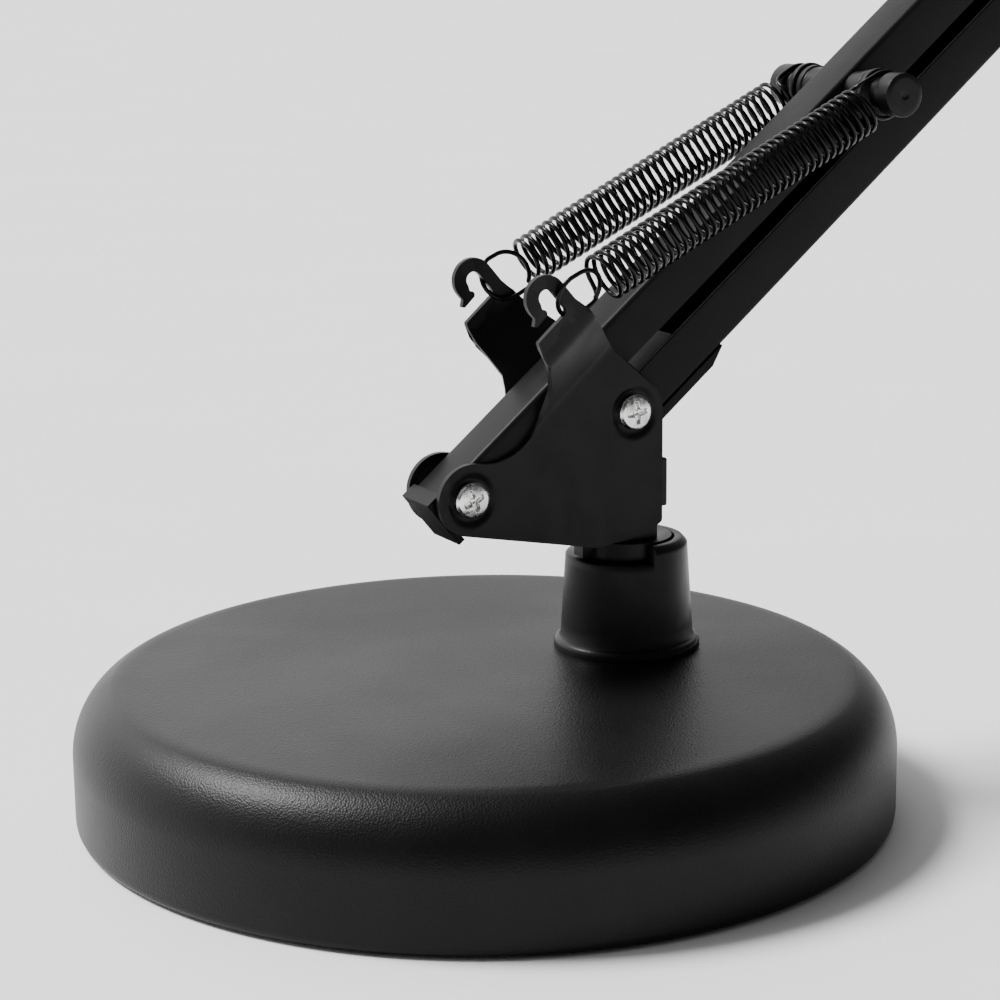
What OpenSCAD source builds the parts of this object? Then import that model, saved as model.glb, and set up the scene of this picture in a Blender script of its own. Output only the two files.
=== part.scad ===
// Spring-balanced architect desk lamp: weighted round base, swivelling pivot bracket,
// two parallelogram arms of folded steel channel, and a bell shade.
// Origin: centre of the base, on the surface it stands on. +Z up. The arms move in the
// XZ plane; the lower arm leans towards +X. Side "right" is -Y and "left" is +Y.

/* [Base] */
// Diameter of the base
base_d = 190; // [160:1:230]
// Height of the base plateau above the table
base_h = 32.2; // [28:0.2:45]
// Height of the straight part of the side wall
base_side_h = 16.6; // [12:0.2:20]
// Width of the rounded shoulder
shoulder_w = 14.8; // [10:0.2:20]
// Share of the shoulder that the flat plateau cuts off
shoulder_cut = 4.5; // [2:0.1:6]
// Wall of the moulded base cover
cover_wall = 2.2; // [1.6:0.1:3.2]
// Thickness of the foot pad
foot_pad_t = 2.4; // [1.6:0.1:4]
// Height of the iron ballast's wide lower disc
ballast_low_h = 11.6; // [8:0.1:13]
// Height of the iron ballast's upper disc
ballast_top_h = 10; // [5:0.1:10.4]
// Distance of the swivel axis from the base centre
socket_offset = 38.7; // [30:0.1:44]

/* [Swivel socket] */
// Diameter of the socket post at its foot
socket_foot_d = 31.9; // [30:0.1:40]
// Diameter of the socket post at its rim
socket_rim_d = 28.5; // [27:0.1:34]
// Height of the socket post above the plateau
socket_h = 26.6; // [22:0.1:34]
// Depth by which most of the rim is lowered, leaving a raised stop
rim_drop = 3.8; // [2.5:0.1:5]
// Arc of the raised stop
stop_arc = 118; // [60:1:130]
// Direction of the middle of the raised stop
stop_centre = -35; // [-60:1:0]
// Diameter of the swivel stem
stem_d = 12; // [10:0.1:14]

/* [Pivot bracket] */
// Sheet thickness of the bracket and of the arm plates
plate_t = 1.4; // [1:0.1:2]
// Front pivot behind the swivel axis
pivot_back = 45.7; // [42:0.1:50]
// Front pivot above the socket rim
pivot_rise = 15.5; // [14:0.1:20]
// Distance between the two pivots of the lower arm
pivot_gap = 45.7; // [42:0.1:50]
// Slope of the line through the two pivots
pivot_tilt = 20.1; // [18:0.1:22]
// Radius of the plate round a pivot
lobe_r = 8.3; // [7.6:0.1:9.5]
// Outward flare of the spring ears
ear_flare = 9.4; // [8:0.1:12]

/* [Arms] */
// Outer width of an arm channel
channel_w = 12.6; // [11:0.1:16]
// Height of an arm channel
channel_h = 11; // [9:0.1:11.4]
// Sheet thickness of a channel
channel_t = 1; // [0.8:0.1:1.4]
// Lower arm, pivot to pivot
lower_len = 370; // [300:1:450]
// Upper arm, pivot to pivot
upper_len = 340; // [300:1:420]
// Lower arm's rise from horizontal at rest
lower_angle = 39; // [38:1:60]
// Upper arm's direction at rest, from +X
upper_angle = 140; // [135:1:150]
// Distance between the two pivots of the upper arm
upper_gap = 20; // [19.5:0.1:26]
// Diameter of a pivot screw's shank
screw_d = 4; // [3:0.1:5]

/* [Springs] */
// Outer diameter of a spring
coil_d = 11.8; // [9:0.1:13]
// Diameter of the spring wire
wire_d = 1.1; // [0.8:0.1:1.4]
// Distance along an arm from its pivot to the spring pin
spring_reach = 137; // [120:1:160]

/* [Head] */
// Diameter of the shade's mouth
shade_d = 164; // [140:1:190]
// Height of the shade
shade_h = 108; // [90:1:130]
// Sheet thickness of the shade
shade_wall = 1; // [0.8:0.1:1.5]
// Diameter of the lamp housing
housing_d = 54; // [50:0.5:60]
// Height of the lamp housing
housing_h = 46; // [42:0.5:60]
// Diameter of the bulb
bulb_d = 60; // [45:1:60]

/* [Hidden] */
$fn = 64;

run_gap = 0.05;                  // radial clearance of a running fit
side_gap = 0.4;                  // between a channel's side and the plate beside it
over = 1;                        // how far a cut runs past the solid it cuts

function dir(a) = [cos(a), sin(a)];
function nrm(a) = [-sin(a), cos(a)];

// Base
base_r = base_d / 2;
shoulder_r = base_r - shoulder_w;              // where the full shoulder would meet the top
shoulder_h = (base_h - base_side_h) / sqrt(1 - pow(shoulder_cut / shoulder_w, 2));
cover_lift = 0.6;                              // the cover hangs clear of the table
pad_r = base_r - 7;
ballast_r = base_r - 6;
ballast_top_r = base_r - 20;
ballast_low_z = foot_pad_t + ballast_low_h;
ballast_top_z = ballast_low_z + ballast_top_h;
boss_r = 5;
boss_ring_r = base_r * 0.56;
base_screw_r = 1.75;
base_head_r = 3.3;
base_head_h = 2.4;
boss_angles = [70, 180, 290];

// Socket and swivel
socket_top = base_h + socket_h;
rim_low = socket_top - rim_drop;
collar_r = socket_foot_d / 2 + 1.4;
collar_h = 2.4;
stem_r = stem_d / 2;
bushing_r = stem_r + 2.6;
cup_r = socket_rim_d / 2 - 3;                  // recess in the top of the post
cup_h = 6;
bushing_flange_h = 2;
bushing_top = rim_low - cup_h + bushing_flange_h;
stem_bottom = base_h - 3;
spigot_r = bushing_r + 2.4;
spigot_bottom = base_h - cover_wall - 3;
disc_r = cup_r - 0.6;
disc_top = socket_top + 0.3;                   // the block rides over the raised stop
tongue_w = 4;
rim_bevel = 1.2;
collar_bevel = 0.8;
socket_screw_r = 2.4;
socket_head_r = 4.6;
socket_head_h = 3.6;

// Plates: y of the faces on the left side; the right side mirrors them
plate_in = channel_w / 2 + side_gap;
plate_mid = plate_in + plate_t / 2;
plate_out = plate_in + plate_t;
ear_y = plate_mid + ear_flare;                 // middle of the outer tab's sheet

// Pivots, as [x, z]
S1 = [socket_offset - pivot_back, socket_top + pivot_rise];
S2 = S1 + pivot_gap * dir(pivot_tilt);
E1 = S1 + lower_len * dir(lower_angle);
E2 = S2 + lower_len * dir(lower_angle);
elbow_shift = [12, 34];                        // from E1 to the upper arm's first pivot
U1 = E1 + elbow_shift;
U2 = U1 + upper_gap * dir(80);
K1 = U1 + upper_len * dir(upper_angle);
K2 = U2 + upper_len * dir(upper_angle);
yoke_drop = [-26, -12];                        // from K1 to the tilt axis
K = K1 + yoke_drop;
elbow_brace = (E2 + U1) / 2 + [8, 8];          // centre of the elbow's spacer tube
web_x = S2[0] + lobe_r - 1.2;                  // front face of the bracket's rear web
block_x = socket_offset - 8;                   // front face of the swivel block
block_h = 12.2;
rivet_r = 1.6;
rivets = [for (x = [-4, 2]) [socket_offset + x, disc_top + 6.2]];
web_h = 11.5;
web_drop = 7.5;                                // the web's lower edge below the arm's pivot
heel_x = S2[0] - S1[0] + lobe_r - 0.7;         // rear edge of the bracket's sides, from S1
notch_at = [4.6, lobe_r + 13.6];               // round notch above the arm's pivot, from S1
notch_r = 14.2;

// Spring ears, in a frame turned to the fold direction about the arm's pivot
fold_angle = 40.8;
fold_rise = 0.4;
ear_start = 23.4;
ear_w = 25.1;
ear_rise = 13.2;
ear_root = 3;                                  // overlap of the ear with the flat plate
root_lap = 1.3;                                // how far inside the ear the flat plate ends
ear_slope = atan(ear_flare / ear_rise);
ear_taper = 1.6;                               // how much the ear narrows at its rear edge
tab_x = 7.8;                                   // front edge of the hook's tab
hook_at = [17.3, 11.8];
hook_r = 5.1;
eye_r = 1.9;
slot_low = 5.6;
slot_high = 8.7;
seat = [18.35, 7.9];                           // where the spring's loop sits in the hook
function ear_point(a, n) = let (p = a * dir(fold_angle) + n * nrm(fold_angle)) p;
hook_seat = ear_point(ear_start + seat[0], fold_rise + ear_rise + seat[1]);

// Springs
wire_r = wire_d / 2;
coil_mean_r = coil_d / 2 - wire_r;
lower_hook = S1 + hook_seat;
lower_pin = S1 + spring_reach * dir(lower_angle);
upper_hook = U1 + [-hook_seat[0], hook_seat[1]];
upper_pin = U1 + spring_reach * dir(upper_angle);
groove_r = coil_mean_r - wire_r - 1.05;
loop_shift = 0.75;                             // the loop is pulled against its groove
pin_r = 2;
spool_r = 5.1;
coil_lead = 1.2;                               // from an end loop to the first coil

// Channels, plugs and fasteners
channel_tail = 6.5;                            // channel past its end pivots
hub_r = 4.2;
plug_len = 20;
strip_len = 28;
strip_t = 2.4;
top_lip = 0.7;
top_lip_len = 2.2;
screw_r = screw_d / 2;
head_r = 4.15;
head_h = 2.1;
dish_depth = 0.6;
dish_r = 6.3;
dish_flank = 1.3;                              // how much a dish narrows over its depth
screw_dome_r = head_h + 3.4;
recess_len = 5.2;
recess_w = 0.9;
recess_deep = 1.3;
recess_turn = 20;
nut_r = 4;
nut_h = 3.2;

// Head, with heights measured down from the tilt axis
cap_top = K[1] - 13;
cap_bottom = cap_top - 13;
housing_r = housing_d / 2;
housing_wall = 1.2;
housing_top = cap_bottom + 2;
housing_bottom = housing_top - housing_h;
shade_top = housing_bottom + 4;
shade_bottom = shade_top - shade_h;
shade_r = shade_d / 2;
holder_top = housing_top - 12;
holder_r = 19.5;
holder_bottom = housing_bottom + 2;
lamp_r = 13;
neck_overlap = 5;                              // cap of the bulb that shows below the holder
vent_w = 3.2;
vent_h = 9;
vents = 6;
bead_r = 1.3;
glass_t = 1;
bulb_r = bulb_d / 2;
bulb_z = holder_bottom - 18 - bulb_r;
knuckle_r = 8;
head_stem_r = 5;
hub_len = 15;
stem_end = cap_top - hub_len - 4.3;
bolt_r = 2.5;
bolt_head_r = 4.4;
bolt_head_h = 2.6;
washer_t = 1.2;
washer_r = 6.4;
stem_nut_r = 8;
stem_nut_h = 4;
knob_r = 9;
knob_len = 14;
knob_neck = 3;
knob_grips = 6;
gland_at = [K[0] - 6, 18];
gland_r = 5;
gland_bore_r = 3.2;
gland_len = 10;
flange_h = 3;
button_r = 5;
button_z = housing_top - 22;

// Extrudes a profile drawn in the XZ plane from y0 to y1
module slab(y0, y1) translate([0, y1, 0]) rotate([90, 0, 0]) linear_extrude(y1 - y0) children();
// A cylinder along Y through the XZ point p
module bar(p, r, y0, y1) translate([p[0], y0, p[1]]) rotate([-90, 0, 0]) cylinder(r = r, h = y1 - y0);
// Frame with +X along a direction in the XZ plane
module along(p, a) translate([p[0], 0, p[1]]) rotate([0, -a, 0]) children();
module both_sides() { children(); mirror([0, 1, 0]) children(); }
module disc(p, r) translate(p) circle(r = r);
module on_axis(x, z = 0) translate([x, 0, z]) children();
// A flat shape with rounded corners of radius r round each point
module rounded(points, r) {
    polygon(points);
    for (i = [0:len(points) - 1]) {
        a = points[i];
        b = points[(i + 1) % len(points)];
        disc(a, r);
        translate(a) rotate(atan2(b[1] - a[1], b[0] - a[0]))
            translate([0, 0.03 - r]) square([norm(b - a), 2 * r - 0.06]);
    }
}

// ---- Base ----
function shoulder(r0, w, z0, h, a0, a1) = [for (i = [0:14]) let (a = a0 + (a1 - a0) * i / 14)
    [r0 + w * cos(a), z0 + h * sin(a)]];
module base_cover() color("#1c1c1d") {
    top_a = acos(shoulder_cut / shoulder_w);
    in_w = shoulder_w - cover_wall;
    in_top = base_h - cover_wall;
    in_a = acos(shoulder_cut / in_w);
    difference() {
        rotate_extrude($fn = 128) polygon(concat(
            [[0, in_top]],
            shoulder(shoulder_r, in_w, base_side_h, (in_top - base_side_h) / sin(in_a), in_a, 0),
            [[base_r - cover_wall, cover_lift], [base_r, cover_lift]],
            shoulder(shoulder_r, shoulder_w, base_side_h, shoulder_h, 0, top_a),
            [[0, base_h]]));
        on_axis(socket_offset, base_h - cover_wall - over)
            cylinder(r = spigot_r, h = cover_wall + 2 * over);
    }
    for (a = boss_angles) rotate(a) on_axis(boss_ring_r, ballast_top_z) difference() {
        cylinder(r = boss_r, h = in_top - ballast_top_z);
        translate([0, 0, -over]) cylinder(r = base_screw_r, h = 4 + over);
    }
}
module ballast_weight() color("#3a3a3c") difference() {
    union() {
        translate([0, 0, foot_pad_t]) cylinder(r = ballast_r, h = ballast_low_h);
        translate([0, 0, ballast_low_z]) cylinder(r = ballast_top_r, h = ballast_top_h);
    }
    for (a = boss_angles) rotate(a) on_axis(boss_ring_r) {
        cylinder(r = base_screw_r + 0.3, h = base_h);
        cylinder(r = base_head_r + 0.3, h = foot_pad_t + base_head_h + 0.6);
    }
    on_axis(socket_offset) {
        cylinder(r = socket_screw_r + 0.2, h = base_h);
        cylinder(r = socket_head_r + 0.6, h = foot_pad_t + socket_head_h + 1.4);
    }
}
module foot_pad() color("#2a2a2a") cylinder(r = pad_r, h = foot_pad_t, $fn = 96);
module base_screws() color("silver") for (a = boss_angles)
    rotate(a) on_axis(boss_ring_r, foot_pad_t + 0.6) {
        cylinder(r = base_screw_r, h = ballast_top_z + 3.4 - foot_pad_t);
        cylinder(r = base_head_r, h = base_head_h);
    }
module pivot_socket() color("#161617") difference() {
    union() {
        on_axis(socket_offset, base_h) {
            cylinder(r1 = socket_foot_d / 2, r2 = socket_rim_d / 2, h = socket_h - rim_bevel);
            translate([0, 0, socket_h - rim_bevel])
                cylinder(r1 = socket_rim_d / 2, r2 = socket_rim_d / 2 - 1, h = rim_bevel);
            cylinder(r = collar_r, h = collar_h - collar_bevel);
            translate([0, 0, collar_h - collar_bevel])
                cylinder(r1 = collar_r, r2 = collar_r - collar_bevel, h = collar_bevel);
        }
        on_axis(socket_offset, spigot_bottom) cylinder(r = spigot_r, h = base_h - spigot_bottom);
    }
    // most of the rim is lowered; the raised arc is the swivel stop
    on_axis(socket_offset, rim_low) difference() {
        cylinder(r = collar_r, h = rim_drop + over);
        rotate(stop_centre - stop_arc / 2) rotate_extrude(angle = stop_arc)
            square([collar_r + over, rim_drop + over]);
    }
    on_axis(socket_offset, rim_low - cup_h) cylinder(r = cup_r, h = cup_h + rim_drop + over);
    on_axis(socket_offset, stem_bottom - 1) cylinder(r = bushing_r, h = socket_h);
    on_axis(socket_offset, spigot_bottom - over)
        cylinder(r = socket_screw_r, h = stem_bottom - spigot_bottom + 2 * over);
}
module socket_screw() color("silver") on_axis(socket_offset, foot_pad_t + 1) {
    cylinder(r = socket_screw_r, h = stem_bottom - 2.4 - foot_pad_t);
    cylinder(r = socket_head_r, h = socket_head_h);
}
module swivel_bushing() color("#d8d4c8") on_axis(socket_offset, stem_bottom - 1) difference() {
    union() {
        cylinder(r = bushing_r, h = bushing_top - stem_bottom + 1);
        translate([0, 0, rim_low - cup_h - stem_bottom + 1]) cylinder(r = cup_r, h = bushing_flange_h);
    }
    translate([0, 0, -over]) cylinder(r = stem_r + run_gap, h = socket_h);
}

// ---- Pivot bracket ----
// A spring ear on the left side, in the fold frame of an arm's pivot (x along the arm, y away
// from it): the sheet bends outward at one fold line and back at the next, and ends in a hook
module bent_sheet() {
    h = plate_t / 2;
    k = h * tan(ear_slope / 2);                // how far a fold's corners shift along the sheet
    s = 0.02;                                  // the ear's root lies just inside the plate's faces
    fold_2 = fold_rise + ear_rise;
    reach = fold_2 + hook_at[1] + hook_r + over;
    along([0, 0], fold_angle) rotate([90, 0, 90]) linear_extrude(ear_start + ear_w + over) polygon([
        [plate_in + s, fold_rise - ear_root], [plate_in + s, fold_rise + k], [ear_y - h, fold_2 + k],
        [ear_y - h, reach], [ear_y + h, reach], [ear_y + h, fold_2 - k], [plate_out - s, fold_rise - k],
        [plate_out - s, fold_rise - ear_root]]);
}
module ear_outline() rotate(fold_angle) translate([ear_start, fold_rise]) {
    polygon([[0.6, -ear_root - over], [ear_w - 0.6, -ear_root - over], [ear_w, 0],
        [ear_w - ear_taper, ear_rise], [tab_x, ear_rise], [6.2, 0.4 * ear_rise], [0, 0]]);
    translate([0, ear_rise]) hook_tab();
}
module ear_sheet() intersection() {
    bent_sheet();
    slab(0, 2 * ear_y) ear_outline();
}
module hook_tab() {
    lap = 0.03;                                // keeps straight edges from just grazing an arc
    difference() {
        union() {
            polygon([[tab_x, -over], [ear_w - ear_taper, -over], [hook_at[0] + hook_r - lap, hook_at[1]],
                [hook_at[0] - hook_r + lap, hook_at[1]], [10.2, slot_high], [9.3, slot_low]]);
            disc(hook_at, hook_r);
        }
        translate([0, slot_low]) square([hook_at[0] + eye_r - lap, slot_high - slot_low]);
        translate([hook_at[0] - eye_r + lap, slot_low]) square([2 * (eye_r - lap), hook_at[1] - slot_low]);
        disc(hook_at, eye_r);
        disc(seat, wire_r + 0.4);              // round seat worn for the spring's loop
    }
    disc([hook_at[0] - eye_r - 0.5, slot_high + 0.9], 0.95);
}
module bracket_side() {
    slab(plate_in, plate_out) difference() {
        union() {
            disc(S1, lobe_r);
            disc(S2, lobe_r - 0.6);
            translate(S1) polygon([
                [0, 0], [-0.187 * lobe_r, -0.98 * lobe_r],
                [pivot_back - 13.2, 0.3 - pivot_rise], [pivot_back + 0.1, 1.6 - pivot_rise],
                [heel_x, 4.9 - pivot_rise], [heel_x + 0.05, S2[1] - S1[1]],
                (S2 - S1) + (lobe_r - 0.65) * dir(48),
                ear_point(ear_start + ear_w - root_lap, fold_rise - root_lap),
                ear_point(ear_start + root_lap, fold_rise - root_lap)]);
        }
        translate(S1) disc(notch_at, notch_r);
        disc(S1, screw_r);
        disc(S2, screw_r);
    }
}
module bracket() color("#19191a") {
    both_sides() difference() {
        union() {
            bracket_side();
            translate([S1[0], 0, S1[1]]) ear_sheet();
        }
        for (p = [S1, S2]) dish(p);
    }
    // rear web that joins the two sides
    translate([web_x, -plate_out, S1[1] - web_drop]) cube([plate_t + 0.6, 2 * plate_out, web_h]);
}
module dish(p) translate([p[0], plate_out - dish_depth, p[1]]) rotate([-90, 0, 0])
    cylinder(r1 = dish_r - dish_flank, r2 = dish_r + dish_flank, h = 2 * dish_depth);
module swivel_block() color("#222223") {
    on_axis(socket_offset, stem_bottom) cylinder(r = stem_r, h = disc_top - stem_bottom);
    on_axis(socket_offset, bushing_top) cylinder(r = disc_r, h = disc_top - bushing_top);
    // tongue that meets the raised stop at either end of the swivel
    translate([socket_offset - socket_rim_d / 2 + 1, -tongue_w / 2, rim_low + 0.4])
        cube([socket_rim_d / 2 - 4, tongue_w, disc_top - rim_low - 0.4]);
    difference() {
        translate([block_x, -plate_in, disc_top]) cube([web_x - block_x, 2 * plate_in, block_h]);
        for (p = rivets) bar(p, rivet_r, -plate_out, plate_out);
    }
}
module block_rivets() color("#2b2b2c") for (p = rivets) bar(p, rivet_r, -plate_in, plate_in);

// ---- Fasteners ----
module pivot_screw(p) {
    seat_y = plate_out - dish_depth;
    bar(p, screw_r, -seat_y, plate_out + nut_h);
    difference() {
        intersection() {
            bar(p, head_r, -seat_y - head_h, -seat_y);
            translate([p[0], screw_dome_r - head_h - seat_y, p[1]]) sphere(r = screw_dome_r);
        }
        for (a = [0, 90]) translate([p[0], -seat_y - head_h, p[1]]) rotate([0, a + recess_turn, 0])
            translate([-recess_len / 2, -over, -recess_w / 2])
                cube([recess_len, over + recess_deep, recess_w]);
    }
}
module pivot_nut(p) difference() {
    translate([p[0], plate_out - dish_depth, p[1]]) rotate([-90, 0, 0])
        cylinder(r = nut_r, h = nut_h, $fn = 6);
    bar(p, screw_r, 0, 2 * plate_out + nut_h);
}
module bracket_screws() color("silver") for (p = [S1, S2]) pivot_screw(p);
module bracket_nuts() color("silver") for (p = [S1, S2]) pivot_nut(p);
module elbow_screws() color("silver") for (p = [E1, E2, U1, U2]) pivot_screw(p);
module elbow_nuts() color("silver") for (p = [E1, E2, U1, U2]) pivot_nut(p);
module yoke_screws() color("silver") for (p = [K1, K2]) pivot_screw(p);
module yoke_nuts() color("silver") for (p = [K1, K2]) pivot_nut(p);

// ---- Arms ----
// A channel, open on its underside, with a pivot hole near each end
module channel(len, pin_at = 0) difference() {
    translate([-channel_tail, -channel_w / 2, -channel_h / 2])
        cube([len + 2 * channel_tail, channel_w, channel_h]);
    translate([-channel_tail - over, -channel_w / 2 + channel_t, -channel_h / 2 - over])
        cube([len + 2 * channel_tail + 2 * over, channel_w - 2 * channel_t, channel_h - channel_t + over]);
    for (x = [0, len]) bar([x, 0], hub_r, -channel_w, channel_w);
    if (pin_at > 0) bar([pin_at, 0], pin_r, -channel_w, channel_w);
}
// The plastic plug in a channel's end: a block with a bored hub that spaces the plates,
// and a cap that closes the channel's end
module plug(cap = 1.8, lip = 1.2) difference() {
    union() {
        translate([-channel_tail, -channel_w / 2 + channel_t, -channel_h / 2])
            cube([channel_tail + plug_len, channel_w - 2 * channel_t, channel_h - channel_t]);
        bar([0, 0], hub_r, -plate_in + run_gap, plate_in - run_gap);
        translate([-channel_tail - cap, -channel_w / 2, -channel_h / 2 - lip])
            cube([cap, channel_w, channel_h + lip + top_lip]);
        translate([-channel_tail - cap, -channel_w / 2, channel_h / 2])
            cube([cap + top_lip_len, channel_w, top_lip]);
    }
    bar([0, 0], screw_r + run_gap, -channel_w, channel_w);
}
// Strip from the plug's cap along the closed side of its channel
module cap_strip(cap) slab(-channel_w / 2, channel_w / 2) polygon([
    [-channel_tail - cap, channel_h / 2], [-channel_tail - cap, channel_h / 2 + strip_t],
    [strip_len - 5, channel_h / 2 + strip_t], [strip_len, channel_h / 2 + 0.4],
    [strip_len, channel_h / 2]]);
module lower_channel() color("#1b1b1c") along(S1, lower_angle) channel(lower_len, spring_reach);
module lower_foot_plug() color("#111112") along(S1, lower_angle) plug();
module lower_top_plug() color("#111112") along(E1, lower_angle) mirror([1, 0, 0]) plug(lip = 0.3);
// The link is open on the side that faces the arm
module link_frame(p) along(p, lower_angle) mirror([0, 0, 1]) children();
module lower_link_channel() color("#1b1b1c") link_frame(S2) channel(lower_len);
module lower_link_foot_plug() color("#111112") link_frame(S2) {
    plug(0.8, 0.3);
    cap_strip(0.8);
}
module lower_link_top_plug() color("#111112") link_frame(E2) mirror([1, 0, 0]) plug(1.8, 0.3);
// The upper arm's channels are open on the side that faces down at rest
module upper_frame(p) along(p, upper_angle) mirror([0, 0, 1]) children();
module upper_channel() color("#1b1b1c") upper_frame(U1) channel(upper_len, spring_reach);
module upper_foot_plug() color("#111112") upper_frame(U1) plug(0.8);
module upper_top_plug() color("#111112") upper_frame(K1) mirror([1, 0, 0]) plug(0.8);
module upper_link_channel() color("#1b1b1c") upper_frame(U2) channel(upper_len);
module upper_link_foot_plug() color("#111112") upper_frame(U2) plug(0.8);
module upper_link_top_plug() color("#111112") upper_frame(K2) mirror([1, 0, 0]) plug(0.8);

// ---- Springs ----
module spring_pin(p) bar(p, pin_r, -ear_y - 5.5, ear_y + 5.5);
// Spools on both ends of the pin: an inner collar, a groove for the loop and an outer cap
module spools(p) both_sides() difference() {
    union() {
        bar(p, groove_r + 0.9, channel_w / 2, ear_y - 2.6);
        bar(p, spool_r, ear_y - 5.6, ear_y - 2.2);
        bar(p, groove_r, ear_y - 2.6, ear_y + 2.6);
        bar(p, spool_r - 0.5, ear_y + 1.3, ear_y + 2.2);
        bar(p, spool_r, ear_y + 2.2, ear_y + 7);
    }
    bar(p, pin_r, 0, ear_y + 5.5);
}
module lower_spring_pin() color("silver") spring_pin(lower_pin);
module upper_spring_pin() color("silver") spring_pin(upper_pin);
module lower_pin_spools() color("#1a1a1b") spools(lower_pin);
module upper_pin_spools() color("#1a1a1b") spools(upper_pin);
module ring(r) rotate_extrude($fn = 48) translate([r, 0]) circle(r = wire_r, $fn = 16);
// The coil with the loop that hooks into the ear, along +X from the hook
module spring_body(hook, pin) {
    span = norm(pin - hook);
    coil_0 = 2 * coil_mean_r + coil_lead;
    coil_1 = span - loop_shift - coil_mean_r - coil_lead;
    along(hook, atan2(pin[1] - hook[1], pin[0] - hook[0])) {
        translate([coil_mean_r, ear_y, 0]) ring(coil_mean_r);
        translate([2 * coil_mean_r, ear_y - wire_r, -wire_r]) cube([coil_lead + wire_r, wire_d, wire_d]);
        translate([coil_0, ear_y, 0]) rotate([0, 90, 0]) difference() {
            cylinder(r = coil_d / 2, h = coil_1 - coil_0);
            translate([0, 0, 2 * wire_d]) cylinder(r = coil_d / 2 - wire_d, h = coil_1);
        }
    }
}
// The loop round the spool, at the far end of the coil
module spring_tail(hook, pin) {
    span = norm(pin - hook);
    along(hook, atan2(pin[1] - hook[1], pin[0] - hook[0]))
        translate([span - loop_shift, ear_y, 0]) rotate([90, 0, 0]) ring(coil_mean_r);
}
module lower_spring_left() color("#0c0c0d") spring_body(lower_hook, lower_pin);
module lower_spring_right() color("#0c0c0d") mirror([0, 1, 0]) spring_body(lower_hook, lower_pin);
module lower_tail_left() color("#0c0c0d") spring_tail(lower_hook, lower_pin);
module lower_tail_right() color("#0c0c0d") mirror([0, 1, 0]) spring_tail(lower_hook, lower_pin);
module upper_spring_left() color("#0c0c0d") spring_body(upper_hook, upper_pin);
module upper_spring_right() color("#0c0c0d") mirror([0, 1, 0]) spring_body(upper_hook, upper_pin);
module upper_tail_left() color("#0c0c0d") spring_tail(upper_hook, upper_pin);
module upper_tail_right() color("#0c0c0d") mirror([0, 1, 0]) spring_tail(upper_hook, upper_pin);

// ---- Elbow ----
function mirrored(p) = [-p[0], p[1]];
module elbow_plate() difference() {
    union() {
        slab(plate_in, plate_out) difference() {
            union() {
                rounded([E1, E2, U2, U1], lobe_r - 0.5);
                polygon([U2, U1 + mirrored(ear_point(ear_start + root_lap, fold_rise - root_lap)),
                    U1 + mirrored(ear_point(ear_start + ear_w - root_lap, fold_rise - root_lap)),
                    E1 + (lobe_r - 0.6) * dir(150), E1]);
            }
            for (p = [E1, E2, U1, U2]) disc(p, screw_r);
        }
        translate([U1[0], 0, U1[1]]) mirror([1, 0, 0]) ear_sheet();
    }
    for (p = [E1, E2, U1, U2]) dish(p);
    bar(elbow_brace, rivet_r, 0, 2 * plate_out);
}
module elbow_plate_left() color("#19191a") elbow_plate();
module elbow_plate_right() color("#19191a") mirror([0, 1, 0]) elbow_plate();
module elbow_spacer() color("#2b2b2c") {
    bar(elbow_brace, 3, -plate_in, plate_in);
    bar(elbow_brace, rivet_r, -plate_out - 0.5, plate_out + 0.5);
}

// ---- Head ----
module yoke_plate() difference() {
    slab(plate_in, plate_out) difference() {
        rounded([K, K1, K2], lobe_r - 0.4);
        for (p = [K1, K2]) disc(p, screw_r);
        disc(K, bolt_r);
    }
    for (p = [K1, K2]) dish(p);
}
module yoke_plate_left() color("#19191a") yoke_plate();
module yoke_plate_right() color("#19191a") mirror([0, 1, 0]) yoke_plate();
module tilt_bolt() color("silver") {
    bar(K, bolt_r, -plate_out - washer_t - knob_len + 3, plate_out + washer_t + 1);
    bar(K, bolt_head_r, plate_out + washer_t, plate_out + washer_t + bolt_head_h);
}
module tilt_washers() color("#2b2b2c") both_sides() difference() {
    bar(K, washer_r, plate_out, plate_out + washer_t);
    bar(K, bolt_r, 0, 2 * plate_out);
}
module tilt_knob() color("#141415") {
    y1 = -plate_out - washer_t - 0.3;
    difference() {
        union() {
            bar(K, knob_r, y1 - knob_len, y1 - knob_neck);
            bar(K, knob_r - 3, y1 - knob_neck, y1);
        }
        for (i = [0:knob_grips - 1]) bar(K + (knob_r + 1.6) * dir(360 / knob_grips * i + 30), 3,
            y1 - knob_len - over, y1 - knob_neck);
        bar(K, bolt_r + run_gap, y1 - knob_len + 2.5, y1 + over);
    }
}
module tilt_knuckle() color("#1a1a1b") difference() {
    union() {
        bar(K, knuckle_r, -plate_in + run_gap, plate_in - run_gap);
        on_axis(K[0], stem_end) cylinder(r = head_stem_r, h = K[1] - cap_top + hub_len + 1);
    }
    bar(K, bolt_r + run_gap, -plate_out, plate_out);
}
module stem_nut() color("silver") on_axis(K[0], stem_end) difference() {
    cylinder(r = stem_nut_r, h = stem_nut_h, $fn = 6);
    translate([0, 0, -over]) cylinder(r = head_stem_r, h = stem_nut_h + 2 * over);
}
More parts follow.
